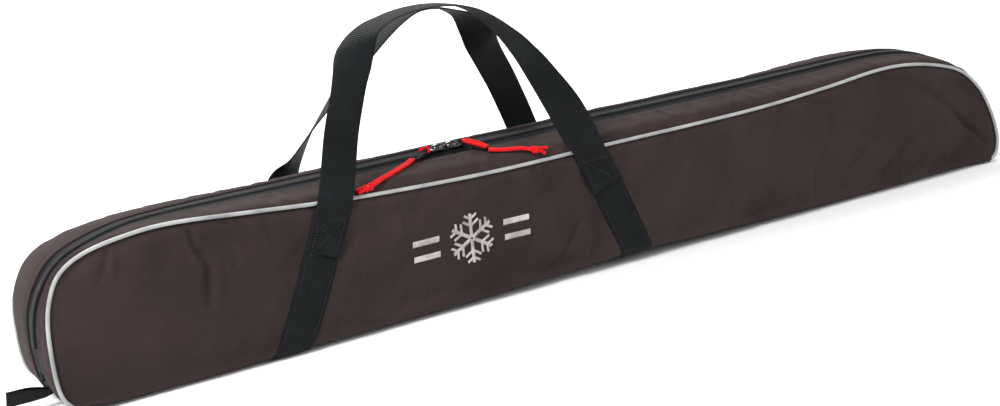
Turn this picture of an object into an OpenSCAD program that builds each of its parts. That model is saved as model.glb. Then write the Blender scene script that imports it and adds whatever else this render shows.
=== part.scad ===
// Ski bag: a long, slim zip-top carry bag with two webbing handles.
// X runs along the bag, -Y is the front panel, Z is up. The origin is on the ground
// under the middle of the bag, on the face it rests on. All sizes are in millimetres.

/* [Body] */
// Length of the fabric body
bag_l = 1220; // [1100:10:1400]
// Depth of the body from the front panel to the back panel
bag_d = 116; // [110:2:140]
// Height of the zip line at the closed ends
bag_h = 158; // [154:1:170]
// Height of the piped seam at mid-length, where the panel sags
seam_h = 137; // [132:1:140]
// How much higher the piped seam stands at the left end
seam_rise_left = 20; // [0:1:20]
// How much higher the piped seam stands at the right end
seam_rise_right = 18; // [0:1:20]
// Radius of the top corners in side view
top_corner_r = 56; // [40:1:60]
// Radius of the bottom corners in side view
base_corner_r = 18; // [10:1:24]

/* [Fabric] */
// Thickness of the main panel, lining included
panel_t = 3; // [2:0.5:3]
// Thickness of the gusset strips
gusset_t = 1.6; // [1:0.2:1.8]
// Diameter of the piping in the seams
piping_d = 4.4; // [3:0.2:5]
// Width of the tape that binds the seams inside
binding_w = 13; // [10:1:20]

/* [Zip] */
// How far the zip line lies from the bag's middle, towards the front
zip_offset = 12; // [10:1:14]
// Width of one zip tape
tape_w = 12; // [10:1:13]
// Length of the top that opens when the sliders part
mouth_l = 1000; // [900:10:1000]
// Length of a slider
slider_l = 20; // [18:1:21]
// Width of a slider
slider_w = 13; // [11:1:14]
// Length of a pull from its pivot to its end
pull_l = 30; // [26:1:32]
// Width of a pull plate
pull_w = 10.5; // [9:0.5:11]

/* [Webbing] */
// Width of the handle webbing
web_w = 38; // [30:1:40]
// Thickness of the handle webbing
web_t = 1.8; // [1.4:0.1:2]
// Where the middle of the handles stands along the bag
handle_x = -170; // [-200:5:0]
// Half the distance between the two feet of a handle
foot_x = 153; // [140:1:160]
// How far each webbing band leans outwards from the seam to the ground
band_lean = 58; // [0:2:70]
// Height where the handles are tacked down and start to move
foot_z = 131; // [128:1:131]
// Length of a grab tab at a zip end
tab_l = 36; // [25:1:45]
// Width of a grab tab
tab_w = 18; // [14:1:25]

/* [Cords] */
// Diameter of the pull cords
cord_d = 3.5; // [3:0.1:3.6]
// Diameter of the knot on each pair of cords
knot_d = 8; // [7:0.2:8.4]

/* [Emblem] */
// Height of the embroidered snowflake
flake_h = 52; // [40:1:60]
// Thickness of the embroidery
thread_t = 0.8; // [0.6:0.1:1.2]

/* [Hidden] */

// Half sizes and the inner face of the walls
half_l = bag_l / 2;
half_d = bag_d / 2;
wall_y = half_d - panel_t;
piping_r = piping_d / 2;

// Zip line, mouth and the two lines that the mouth flaps turn about
zip_y = -zip_offset;
mouth_x = mouth_l / 2;
flap_gap = 0.5;
flap_play = 3;
hinge_y = half_d - 6;
hinge_z = 148;
coil_w = 2.8;
coil_h = 3;
half_gap = 1.6;
coil_z = bag_h + 0.2;
crest_y = 4;
crest_z = bag_h + 2.6;
tape_t = 1.2;

// The piped seam falls from each end to mid-length over these stretches
sag_left_x = -180;
sag_right_x = 220;
sag_run = 300;

// Sliders, pulls and their pivots
slider_xs = [-176, -154];
slider_z = coil_z + coil_h / 2 + 0.5;
slider_plate_t = 2;
pivot_out = 9;
pivot_z = slider_z + 2.9;
eye_r = 2.1;
eye_play = 0.25;
pull_yaws = [212, -57];
pull_pitch = [8, 14];
pull_t = 2.2;
pin_r = 1;
pin_play = 0.1;
eye_w = 3.2;
neck_l = 10;

// Webbing bands
band_top = foot_z - 1.4;
lean_angle = atan(band_lean / band_top);
band_w = web_w / cos(lean_angle);
foot_xs = [handle_x - foot_x, handle_x + foot_x];
tack_w = 34;
tack_h = 1.6;

// Grab tabs and zip stops
tab_z = 17;
stop_z = 34;

// The embroidery sits between the bands, about half-way up
flake_z = 73;
flake_arm_w = 4;
bar_l = 30;
bar_h = 6;
bar_x = 54;

// Route of the front handle: x from the handles' middle, y, z
handle_route = [
  [-154, -61.4, foot_z], [-153, -64, 142], [-143, -64, 172], [-130, -55.5, 206],
  [-114, -43, 236], [-101, -31, 258], [-90, -24, 277], [-74, -20, 295], [-52, -20, 305],
  [-25, -20, 310], [8, -20, 310], [38, -20, 304], [61, -20.5, 292], [83, -26, 271],
  [99, -37.5, 246], [112, -50, 218], [125, -59, 190], [140, -64, 162], [152, -63.2, 147],
  [154, -62.4, 140], [154, -61.4, foot_z]
];
// Route of the rear handle, which stands narrower, before it is turned round to the back
rear_route = [
  [-154, -61.4, foot_z], [-153, -64, 142], [-139, -64, 172], [-121, -55.5, 206],
  [-102, -43, 236], [-88, -31, 258], [-78, -24, 277], [-62, -20, 295], [-42, -20, 305],
  [-20, -20, 310], [-1, -20, 310], [15, -20, 304], [34, -20.5, 292], [56, -26, 271],
  [74, -37.5, 246], [91, -50, 218], [113, -59, 190], [137, -64, 162], [151, -63.2, 148],
  [154, -62.4, 140], [154, -61.4, foot_z]
];
// Twist of the webbing about its own line at each point of either route, in degrees
handle_twist = [
  0, 0, 0, 0, 0, -8, -45, -80, -90, -90, -90, -90, -90, -86, -76, -64, -44, -14, 0, 0, 0
];
// The rear handle's top lies this much lower, under the front one
rear_drop = 7;

// Routes of the doubled pull cords, from the end of the plate to the knot
left_cord_route = [
  [-212, -27.5, 159.4], [-219, -31, 157.6], [-232, -37.5, 155.8], [-250, -46, 153.8],
  [-264, -52.4, 152.4], [-273, -55.8, 150.4], [-279, -57.4, 148.8]
];
right_cord_route = [
  [-128.2, -39, 155.4], [-122, -43.5, 154.4], [-111, -48.5, 153.4], [-98, -52, 152.6],
  [-89, -55.2, 150.4], [-83, -57.2, 148.8]
];
// The four cut tails past the knots
left_tails = [
  [[-285, -57, 149.4], [-292, -57.4, 148.4]],
  [[-285, -59, 148.6], [-291, -59.4, 147.9]]
];
right_tails = [
  [[-77, -57.4, 149.2], [-68, -57.8, 148]],
  [[-78, -59, 147.2], [-73, -60.2, 143.6]]
];
strand_gap = 3.8;

// ---------- helpers ----------

function smooth(t) = let (c = min(1, max(0, t))) c * c * (3 - 2 * c);

function unit(v) = v / norm(v);

function seam_z(x) = seam_h
  + seam_rise_left * smooth((sag_left_x - x) / sag_run)
  + seam_rise_right * smooth((x - sag_right_x) / sag_run);

function arc(cx, cz, r, from, to, steps = 12) =
  [for (i = [0:steps]) let (a = from + (to - from) * i / steps) [cx + r * cos(a), cz + r * sin(a)]];

// Side outline of a panel, drawn in XZ and moved inwards by inset at the ends and the top
function panel_outline(inset) =
  let (
    bx = half_l - base_corner_r,
    tx = half_l - top_corner_r,
    rb = base_corner_r - inset,
    rt = top_corner_r - inset,
    steps = 40
  )
  concat(
    arc(bx, rb, rb, -90, 0),
    arc(tx, seam_z(tx) - top_corner_r, rt, 0, 90),
    [for (i = [1:steps - 1]) let (x = tx - 2 * tx * i / steps) [x, seam_z(x) - inset]],
    arc(-tx, seam_z(-tx) - top_corner_r, rt, 90, 180),
    arc(-bx, rb, rb, 180, 270)
  );

// Side outline of the gusset strip, which keeps one height
function gusset_outline(inset) =
  let (
    bx = half_l - base_corner_r,
    tx = half_l - top_corner_r,
    cz = bag_h - top_corner_r,
    rb = base_corner_r - inset,
    rt = top_corner_r - inset
  )
  concat(
    arc(bx, base_corner_r, rb, -90, 0),
    arc(tx, cz, rt, 0, 90),
    arc(-tx, cz, rt, 90, 180),
    arc(-bx, base_corner_r, rb, 180, 270)
  );

// Extrudes a side outline between two depths
module side_slab(y0, y1) {
  translate([0, y1, 0]) rotate([90, 0, 0]) linear_extrude(y1 - y0) children();
}

// The ends of the gusset strip between two insets, side -1 left and side 1 right
module end_strip(side, y0, y1, outer, inner) {
  side_slab(y0, y1) intersection() {
    difference() {
      polygon(gusset_outline(outer));
      polygon(gusset_outline(inner));
    }
    translate([side > 0 ? mouth_x : -half_l - 5, panel_t + 0.2])
      square([half_l + 5 - mouth_x, bag_h + 5]);
  }
}

// Extrudes a YZ section along the mouth
module along_mouth(points) {
  translate([-mouth_x + flap_gap, 0, 0]) rotate([90, 0, 90])
    linear_extrude(mouth_l - 2 * flap_gap) polygon(points);
}

// A thin strip of thickness t along a YZ line
function strip(line, t) =
  concat([for (p = line) p + [0, t / 2]], [for (i = [len(line) - 1:-1:0]) line[i] - [0, t / 2]]);

// Height of the sloping mouth flaps
function front_flap_z(y) =
  hinge_z + (y + hinge_y) * (coil_z - hinge_z) / (zip_y - half_gap + hinge_y);
function rear_flap_z(y) = y > crest_y
  ? hinge_z + (hinge_y - y) * (crest_z - hinge_z) / (hinge_y - crest_y)
  : coil_z + (y - zip_y - half_gap) * (crest_z - coil_z) / (crest_y - zip_y - half_gap);

// Points of a smooth line through the points of a route
function route_point(p, i, t) =
  let (a = p[max(i - 1, 0)], b = p[i], c = p[i + 1], d = p[min(i + 2, len(p) - 1)])
  0.5 * (2 * b + (c - a) * t + (2 * a - 5 * b + 4 * c - d) * t * t
    + (3 * b - a - 3 * c + d) * t * t * t);
function smooth_route(p, n) =
  concat([for (i = [0:len(p) - 2]) for (k = [0:n - 1]) route_point(p, i, k / n)], [p[len(p) - 1]]);

// Direction of a line of points at point i
function heading(p, i) = unit(p[min(i + 1, len(p) - 1)] - p[max(i - 1, 0)]);

// Skin of a swept row of rings, each ring having m points
function skin_faces(rings, m) = concat(
  [for (i = [0:rings - 2]) for (k = [0:m - 1]) [i * m + k, i * m + (k + 1) % m, (i + 1) * m + k]],
  [for (i = [0:rings - 2]) for (k = [0:m - 1])
    [i * m + (k + 1) % m, (i + 1) * m + (k + 1) % m, (i + 1) * m + k]],
  [[for (k = [m - 1:-1:0]) k], [for (k = [0:m - 1]) (rings - 1) * m + k]]
);

// A round cord along a line of points
module cord(line, d) {
  sides = 8;
  points = [for (i = [0:len(line) - 1])
    let (u = heading(line, i), a = unit(cross(u, [0, 0, 1])), b = cross(a, u))
    for (k = [0:sides - 1]) line[i] + d / 2 * (cos(360 * k / sides) * a + sin(360 * k / sides) * b)];
  polyhedron(points, skin_faces(len(line), sides), convexity = 4);
}

// Flat webbing along a line of points, turned by twist about the line
module webbing(line, twist) {
  corners = [[-1, -1], [1, -1], [1, 1], [-1, 1]];
  points = [for (i = [0:len(line) - 1])
    let (
      u = heading(line, i),
      a = unit(cross([0, 1, 0], u)),
      b = cross(u, a),
      w = cos(twist[i]) * a + sin(twist[i]) * b,
      n = cross(u, w)
    )
    for (c = corners) line[i] + c[0] * web_w / 2 * w + c[1] * web_t / 2 * n];
  polyhedron(points, skin_faces(len(line), 4), convexity = 6);
}

// ---------- body ----------

module main_panel() {
  color("#382c2c") difference() {
    side_slab(-half_d, half_d) polygon(panel_outline(piping_r));
    translate([-half_l, -wall_y, panel_t]) cube([bag_l, 2 * wall_y, bag_h]);
    for (x = foot_xs) band_base(x, 0.05);
  }
}

module gusset_side(side) {
  inner = half_gap + coil_w + tape_w;
  y0 = side < 0 ? -wall_y : zip_y + inner;
  y1 = side < 0 ? zip_y - inner : wall_y;
  for (end = [-1, 1]) end_strip(end, y0, y1, 0, gusset_t);
  edge_y = side < 0 ? -wall_y : wall_y - gusset_t;
  translate([-mouth_x, edge_y, seam_h]) cube([mouth_l, gusset_t, hinge_z - seam_h - flap_play]);
}

module front_gusset() {
  color("#4a3d3c") gusset_side(-1);
}

module rear_gusset() {
  color("#4a3d3c") gusset_side(1);
}

module front_mouth_flap() {
  edge = zip_y - half_gap - coil_w - tape_w;
  line = [[-hinge_y, hinge_z], [edge, front_flap_z(edge)]];
  color("#4a3d3c") along_mouth(strip(line, gusset_t));
}

module rear_mouth_flap() {
  edge = zip_y + half_gap + coil_w + tape_w;
  line = [[hinge_y, hinge_z], [edge + 4, rear_flap_z(edge + 4)], [edge, rear_flap_z(edge)]];
  color("#4a3d3c") along_mouth(strip(line, gusset_t));
}

module seam_binding(side) {
  y = side < 0 ? -wall_y : wall_y - 1.2;
  translate([-mouth_x, y, seam_h - binding_w - 2]) cube([mouth_l, 1.2, binding_w]);
}

module front_seam_binding() {
  color("#151515") seam_binding(-1);
}

module rear_seam_binding() {
  color("#151515") seam_binding(1);
}

module piping(side) {
  side_slab(side * half_d - piping_r, side * half_d + piping_r) intersection() {
    difference() {
      polygon(panel_outline(-piping_r));
      polygon(panel_outline(piping_r));
    }
    translate([-half_l - 5, panel_t + 0.2]) square([bag_l + 10, bag_h + 10]);
  }
}

module front_piping() {
  color("#b9bfc0") piping(-1);
}

module rear_piping() {
  color("#b9bfc0") piping(1);
}

// ---------- zip ----------

module front_zip_tape() {
  y1 = zip_y - half_gap - coil_w;
  y0 = y1 - tape_w;
  color("#151617") along_mouth(strip([[y0, front_flap_z(y0)], [y1, front_flap_z(y1)]], tape_t));
}

module rear_zip_tape() {
  y0 = zip_y + half_gap + coil_w;
  y1 = y0 + tape_w;
  line = [[y0, rear_flap_z(y0)], [crest_y, rear_flap_z(crest_y)], [y1, rear_flap_z(y1)]];
  color("#151617") along_mouth(strip([for (p = line) if (p[0] >= y0) p], tape_t));
}

module coil_half(y0) {
  z0 = coil_z - coil_h / 2;
  along_mouth([[y0, z0], [y0 + coil_w, z0], [y0 + coil_w, z0 + coil_h], [y0, z0 + coil_h]]);
}

module front_zip_coil() {
  color("#0c0c0d") coil_half(zip_y - half_gap - coil_w);
}

module rear_zip_coil() {
  color("#0c0c0d") coil_half(zip_y + half_gap);
}

module end_tapes(end) {
  inner = half_gap + coil_w;
  for (side = [-1, 1])
    let (c = zip_y + side * (inner + tape_w / 2))
    end_strip(end, c - tape_w / 2, c + tape_w / 2, 0, tape_t);
}

module left_zip_tapes() {
  color("#151617") end_tapes(-1);
}

module right_zip_tapes() {
  color("#151617") end_tapes(1);
}

module end_chain(end) {
  inner = half_gap + coil_w;
  difference() {
    end_strip(end, zip_y - inner, zip_y + inner, -0.8, tape_t);
    translate([-half_l - 5, zip_y - inner - 1, 0]) cube([bag_l + 10, 2 * inner + 2, stop_z]);
  }
}

module left_zip_chain() {
  color("#0c0c0d") end_chain(-1);
}

module right_zip_chain() {
  color("#0c0c0d") end_chain(1);
}

module zip_stop(end) {
  inner = half_gap + coil_w;
  thick = 2;
  x = end < 0 ? -half_l - 0.8 : half_l + 0.8 - thick;
  translate([x, zip_y - inner, tab_z + tab_w / 2 + 1]) cube([thick, 2 * inner, 6]);
}

module left_zip_stop() {
  color("#0c0c0d") zip_stop(-1);
}

module right_zip_stop() {
  color("#0c0c0d") zip_stop(1);
}

// A slider seen from above, its pull leaving towards yaw
module slider(i) {
  x = slider_xs[i];
  out = i == 0 ? -1 : 1;
  // The plate has a notch in which the pull's eye turns
  difference() {
    translate([x, zip_y, slider_z]) hull() for (sx = [-1, 1], sy = [-1, 1])
      translate([sx * (slider_l / 2 - 3), sy * (slider_w / 2 - 3 - (sx == out ? 1 : 0)), 0])
        cylinder(h = slider_plate_t, r = 3, $fn = 32);
    translate(pivot(i)) rotate([0, 0, pull_yaws[i]])
      translate([-eye_r - eye_play, -eye_w / 2 - eye_play, -eye_r - eye_play])
        cube([slider_w, eye_w + 2 * eye_play, slider_plate_t + eye_r]);
  }
  translate([x, zip_y, slider_z]) {
    intersection() {
      hull() for (sx = [-1, 1])
        translate([sx * 3 - out * 3, 0, slider_plate_t]) sphere(r = 4.4, $fn = 32);
      translate([-slider_l / 2, -slider_w / 2, slider_plate_t - 0.5]) cube([slider_l, slider_w, 10]);
    }
  }
  translate(pivot(i)) rotate([0, 0, pull_yaws[i]]) {
    for (side = [-1, 1]) translate([-2, side * 2.7 - 0.7, slider_z - pivot_z + 0.5])
      cube([4, 1.4, pivot_z - slider_z + 0.7]);
    rotate([90, 0, 0]) cylinder(h = 6.8, r = pin_r, center = true, $fn = 32);
  }
}

function pivot(i) = [slider_xs[i] + (i == 0 ? -1 : 1) * pivot_out, zip_y, pivot_z];

module left_slider() {
  color("#1b1714") slider(0);
}

module right_slider() {
  color("#1b1714") slider(1);
}

// A pull lying along +X from its pivot
module pull_shape() {
  difference() {
    union() {
      rotate([90, 0, 0]) cylinder(h = eye_w, r = eye_r, center = true, $fn = 32);
      translate([0, -eye_w / 2, -pull_t / 2]) cube([neck_l + 1, eye_w, pull_t]);
      translate([neck_l, -pull_w / 2, -pull_t / 2]) cube([pull_l - neck_l, pull_w, pull_t]);
    }
    rotate([90, 0, 0]) cylinder(h = eye_w + 1, r = pin_r + pin_play, center = true, $fn = 32);
    translate([pull_l - 5, 0, -pull_t]) cylinder(h = 2 * pull_t, r = 2.2, $fn = 32);
  }
}

module on_pull(i) {
  translate(pivot(i)) rotate([0, pull_pitch[i], pull_yaws[i]]) children();
}

module left_pull() {
  color("#161616") on_pull(0) pull_shape();
}

module right_pull() {
  color("#161616") on_pull(1) pull_shape();
}

// The cord's bight, hitched round the neck of the left pull
module left_cord_bight() {
  y = 3.5;
  z = pull_t / 2 + cord_d / 2 + 0.1;
  line = [[7.4, -y, -1], [6.6, 0.6 - y, 1.6], [5.8, 0, z], [5.4, y - 0.6, 1.6], [5.4, y, -1]];
  color("#d8262c") on_pull(0) cord(smooth_route(line, 3), cord_d - 0.6);
}

// The cord's bight, opened over the right pull's plate
module right_cord_bight() {
  z = pull_t / 2 + cord_d / 2 + 0.1;
  line = [[pull_l - 1, -1.9, z], [20, -3.4, z], [10, -3.6, z], [5, -2.4, z], [3.4, 0, z], [5, 2.4, z],
    [10, 3.6, z], [20, 3.4, z], [pull_l - 1, 1.9, z]];
  color("#d8262c") on_pull(1) cord(smooth_route(line, 2), cord_d);
}

// One strand of a doubled cord, side -1 or 1, with its cut tail
function strand_route(route, tail, side) = concat(
  [for (i = [0:len(route) - 1])
    let (u = heading(route, i), a = unit(cross(u, [0, 0, 1])))
    route[i] + side * a * (i < len(route) - 1 ? strand_gap / 2 : strand_gap / 3)],
  tail
);

module left_cord_a() {
  color("#d8262c") cord(smooth_route(strand_route(left_cord_route, left_tails[0], 1), 1), cord_d);
}

module left_cord_b() {
  color("#d8262c") cord(smooth_route(strand_route(left_cord_route, left_tails[1], -1), 1), cord_d);
}

module right_cord_a() {
  color("#d8262c") cord(smooth_route(strand_route(right_cord_route, right_tails[0], -1), 1), cord_d);
}

module right_cord_b() {
  color("#d8262c") cord(smooth_route(strand_route(right_cord_route, right_tails[1], 1), 1), cord_d);
}

module left_cord_knot() {
  color("#d8262c") translate(left_cord_route[len(left_cord_route) - 1]) sphere(d = knot_d, $fn = 32);
}

module right_cord_knot() {
  color("#d8262c") translate(right_cord_route[len(right_cord_route) - 1]) sphere(d = knot_d, $fn = 32);
}

// ---------- webbing ----------

// The stretch of a band that runs under the bag, enlarged by play for its recess
module band_base(x, play) {
  lean = x < handle_x ? -band_lean : band_lean;
  translate([x + lean - band_w / 2 - play, -half_d - 1, -play])
    cube([band_w + 2 * play, bag_d + 2, web_t + 2 * play]);
}

module band(x) {
  lean = x < handle_x ? -band_lean : band_lean;
  for (side = [-1, 1])
    side_slab(side * (half_d + web_t / 2) - web_t / 2, side * (half_d + web_t / 2) + web_t / 2)
      polygon([
        [x - band_w / 2, band_top], [x + band_w / 2, band_top],
        [x + lean + band_w / 2, 0], [x + lean - band_w / 2, 0]
      ]);
  translate([x + lean - band_w / 2, -half_d, 0]) cube([band_w, bag_d, web_t]);
}

module left_band() {
  color("#16191a") band(foot_xs[0]);
}

module right_band() {
  color("#16191a") band(foot_xs[1]);
}

function dense_twist(n) = concat(
  [for (i = [0:len(handle_twist) - 2]) for (k = [0:n - 1])
    handle_twist[i] + (handle_twist[i + 1] - handle_twist[i]) * k / n],
  [handle_twist[len(handle_twist) - 1]]
);

// Lowers the top of a handle's route without moving its feet
function lowered(route, drop) = [for (p = route) p - [0, 0, drop * smooth((p[2] - 200) / 80)]];

module handle(route, drop) {
  n = 3;
  webbing(smooth_route(lowered(route, drop), n), dense_twist(n));
}

module front_handle() {
  color("#16191a") translate([handle_x, 0, 0]) handle(handle_route, 0);
}

module rear_handle() {
  color("#16191a") translate([handle_x, 0, 0]) rotate([0, 0, 180]) handle(rear_route, rear_drop);
}

module bartacks(side) {
  y = side < 0 ? -half_d - web_t - thread_t : half_d + web_t;
  for (x = foot_xs, z = [band_top - 4, band_top - 24])
    let (lean = (x < handle_x ? -1 : 1) * (band_top - z) * tan(lean_angle))
    translate([x + lean - tack_w / 2, y, z]) cube([tack_w, thread_t, tack_h]);
}

module front_bartacks() {
  color("#0e0f10") bartacks(-1);
}

module rear_bartacks() {
  color("#0e0f10") bartacks(1);
}

module grab_tab(end) {
  root_w = tab_w * 0.6;
  thick = 2 * web_t;
  x = half_l + 1;
  side_slab(zip_y - thick / 2, zip_y + thick / 2)
    polygon([
      [end * x, tab_z - root_w / 2], [end * x, tab_z + root_w / 2],
      [end * (x + 8), tab_z + tab_w / 2], [end * (x + tab_l - 2), tab_z + tab_w / 2],
      [end * (x + tab_l), tab_z + tab_w / 2 - 2], [end * (x + tab_l), tab_z - tab_w / 2 + 2],
      [end * (x + tab_l - 2), tab_z - tab_w / 2], [end * (x + 8), tab_z - tab_w / 2]
    ]);
}

module left_grab_tab() {
  color("#16191a") grab_tab(-1);
}

module right_grab_tab() {
  color("#16191a") grab_tab(1);
}

// A six-armed snowflake between two pairs of bars, embroidered on the front
module emblem() {
  color("#a9adac") side_slab(-half_d - thread_t, -half_d) translate([handle_x, flake_z]) {
    for (a = [0:60:120]) rotate(a + 30) square([flake_h, flake_arm_w], center = true);
    for (side = [-1, 1], z = [-8, 8])
      translate([side * bar_x, z]) square([bar_l, bar_h], center = true);
  }
}

// ---------- assembly ----------

main_panel();
front_gusset();
rear_gusset();
front_mouth_flap();
rear_mouth_flap();
front_zip_tape();
rear_zip_tape();
left_zip_tapes();
right_zip_tapes();
front_zip_coil();
rear_zip_coil();
left_zip_chain();
right_zip_chain();
left_zip_stop();
right_zip_stop();
left_slider();
right_slider();
left_pull();
right_pull();
left_cord_bight();
right_cord_bight();
left_cord_a();
left_cord_b();
right_cord_a();
right_cord_b();
left_cord_knot();
right_cord_knot();
left_grab_tab();
right_grab_tab();
front_piping();
rear_piping();
left_band();
right_band();
front_handle();
rear_handle();
front_bartacks();
rear_bartacks();
front_seam_binding();
rear_seam_binding();
emblem();
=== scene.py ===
import math
import random

import bpy
import numpy as np
from mathutils import Matrix, Vector
from mathutils.bvhtree import BVHTree


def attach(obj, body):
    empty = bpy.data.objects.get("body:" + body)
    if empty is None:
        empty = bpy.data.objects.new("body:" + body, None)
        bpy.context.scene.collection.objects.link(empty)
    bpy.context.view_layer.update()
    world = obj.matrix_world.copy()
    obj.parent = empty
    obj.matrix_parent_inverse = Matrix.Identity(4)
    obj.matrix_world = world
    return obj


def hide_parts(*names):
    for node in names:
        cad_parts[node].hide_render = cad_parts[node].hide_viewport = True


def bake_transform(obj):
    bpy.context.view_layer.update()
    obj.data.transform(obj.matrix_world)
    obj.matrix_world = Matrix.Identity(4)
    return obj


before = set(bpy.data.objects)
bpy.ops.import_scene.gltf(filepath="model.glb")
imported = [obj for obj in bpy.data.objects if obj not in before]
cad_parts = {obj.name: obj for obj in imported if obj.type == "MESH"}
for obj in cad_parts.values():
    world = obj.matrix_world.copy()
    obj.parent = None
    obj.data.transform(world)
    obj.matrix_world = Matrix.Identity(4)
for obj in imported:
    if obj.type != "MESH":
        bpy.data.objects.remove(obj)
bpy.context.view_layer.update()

MM = 0.001
rng = random.Random(7)

# ---------- driving dimensions, as in the CAD ----------
HALF_D = 58 * MM
ZIP_Y = -12 * MM
HALF_GAP = 0.3 * MM
COIL_R = 1.75 * MM
TAPE_EDGE = 16.4 * MM
MOUTH_X = 499.5 * MM
HINGE_Y = 52 * MM
PIPING_R = 1.95 * MM
HANDLE_X = -170 * MM
FOOT_X = 153 * MM
FOOT_Z = 131 * MM
BAND_LEAN = 58 * MM
WEB_W = 38 * MM
WEB_T = 1.8 * MM
CORD_D = 3.5 * MM
STRAND_GAP = 3.8 * MM
FLAKE_Z = 73 * MM
SLIDER_XS = (-176 * MM, -154 * MM)
PIVOTS = (Vector((-0.185, -0.012, 0.1631)), Vector((-0.145, -0.012, 0.1631)))
PULL_YAWS = (212, -57)
PULL_PITCH = (8, 14)
FLOOR_Z = -1.8 * MM
SIDES = ((-1, "front"), (1, "rear"))
ENDS = ((-1, "left"), (1, "right"))

# Seam and zip in side view, from the left foot over the top to the right foot (mm):
# seam x, seam z, zip x, zip z
OUTLINE = [
    (-596, 10, -603, 13), (-604, 18, -609, 28), (-608, 34, -612, 48), (-609, 60, -613, 72),
    (-608, 88, -612, 95), (-603, 112, -606, 117), (-591, 134, -592, 138), (-566, 148, -568, 150),
    (-524, 155.5, -525, 157), (-480, 157, -480, 158.2), (-400, 150, -400, 158.2),
    (-300, 141.5, -300, 158.2), (-150, 135.5, -150, 158.2), (0, 136, 0, 158.2),
    (200, 137, 200, 158.2), (320, 143, 320, 159), (400, 149.5, 400, 160), (455, 148, 458, 158.5),
    (508, 138, 508, 150), (546, 124, 550, 132), (576, 98, 584, 106), (596, 64, 603, 74),
    (606, 32, 610, 46), (604, 13, 609, 24), (595, 4, 603, 9),
]


# ---------- small helpers ----------

def smooth(t):
    """Smooth step from 0 to 1, for numbers and arrays."""
    t = np.clip(t, 0, 1)
    return t * t * (3 - 2 * t)


def bell(t):
    """A soft bump, 1 at 0 and nearly nothing beyond 2."""
    return np.exp(-t * t)


def unit(v):
    return v / np.maximum(np.linalg.norm(v, axis=-1, keepdims=True), 1e-12)


def spline(points, steps):
    """A smooth line through points, with so many steps between each pair."""
    p = np.asarray(points, float)
    rows = []
    for i in range(len(p) - 1):
        a, b, c, d = p[max(i - 1, 0)], p[i], p[i + 1], p[min(i + 2, len(p) - 1)]
        for t in np.arange(steps) / steps:
            rows.append(0.5 * (2 * b + (c - a) * t + (2 * a - 5 * b + 4 * c - d) * t * t
                               + (3 * b - a - 3 * c + d) * t ** 3))
    rows.append(p[-1])
    return np.array(rows)


def lengths(line):
    """Distance along a line at each of its points."""
    steps = np.linalg.norm(np.diff(line, axis=0), axis=1)
    return np.concatenate([[0], np.cumsum(steps)])


def even(line, spacing, count=None):
    """The same line with evenly spaced points."""
    along = lengths(line[:, :3] if line.shape[1] > 3 else line)
    count = count or max(2, round(along[-1] / spacing) + 1)
    at = np.linspace(0, along[-1], count)
    return np.stack([np.interp(at, along, line[:, k]) for k in range(line.shape[1])], 1)


def soften(values, times=1, axis=0):
    """Averages neighbours along an axis."""
    for _ in range(times):
        pad = [(0, 0)] * values.ndim
        pad[axis] = (1, 1)
        wide = np.pad(values, pad, mode="edge")
        first = np.take(wide, range(0, values.shape[axis]), axis)
        last = np.take(wide, range(2, values.shape[axis] + 2), axis)
        values = (first + 2 * values + last) / 4
    return values


def side_directions(line):
    """Two directions square to a line at each point, turning as little as possible."""
    heading = unit(np.gradient(line, axis=0))
    side = np.zeros_like(line)
    last = np.array((0, 1.0, 0) if abs(heading[0][2]) > 0.95 else (0, 0, 1.0))
    for i, t in enumerate(heading):
        last = last - np.dot(last, t) * t
        last = last / np.linalg.norm(last)
        side[i] = last
    return side, np.cross(heading, side)


def mesh_object(name, points, faces, uvs=None, material=None):
    """A smooth-shaded mesh object; uvs holds one pair for each face corner, in metres of cloth."""
    mesh = bpy.data.meshes.new(name)
    mesh.from_pydata(np.asarray(points).reshape(-1, 3).tolist(), [], faces)
    mesh.polygons.foreach_set("use_smooth", [True] * len(mesh.polygons))
    if uvs is not None:
        layer = mesh.uv_layers.new(name="cloth")
        layer.data.foreach_set("uv", np.asarray(uvs, np.float32).ravel())
    made = bpy.data.objects.new(name, mesh)
    bpy.context.scene.collection.objects.link(made)
    if material is not None:
        mesh.materials.append(material)
    mesh.update()
    return made


def grid_parts(points, uv, wrap=False, caps=False, start=0):
    """Points, faces and corner uvs of a grid; wrap joins its last column to the first."""
    rows, cols = points.shape[:2]
    faces, corners = [], []
    for i in range(rows - 1):
        for k in range(cols if wrap else cols - 1):
            n = (k + 1) % cols
            faces.append((start + i * cols + k, start + (i + 1) * cols + k,
                          start + (i + 1) * cols + n, start + i * cols + n))
            corners += [uv[i, k], uv[i + 1, k], uv[i + 1, k + 1], uv[i, k + 1]]
    if caps:
        for row, order in ((0, range(cols)), (rows - 1, range(cols - 1, -1, -1))):
            faces.append(tuple(start + row * cols + k for k in order))
            corners += [uv[row, k] for k in order]
    return faces, corners


def flipped(faces, corners):
    """The same four-sided faces, facing the other way."""
    return ([face[::-1] for face in faces],
            [corners[i + k] for i in range(0, len(corners), 4) for k in (3, 2, 1, 0)])


def joined(name, grids, material, wrap=True, caps=True):
    """One object from many grids of (points, uv)."""
    points, faces, corners, start = [], [], [], 0
    for grid, uv in grids:
        more, uvs = grid_parts(grid, uv, wrap, caps, start)
        faces += more
        corners += uvs
        points.append(grid.reshape(-1, 3))
        start += grid.shape[0] * grid.shape[1]
    return mesh_object(name, np.concatenate(points), faces, corners, material)


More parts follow.
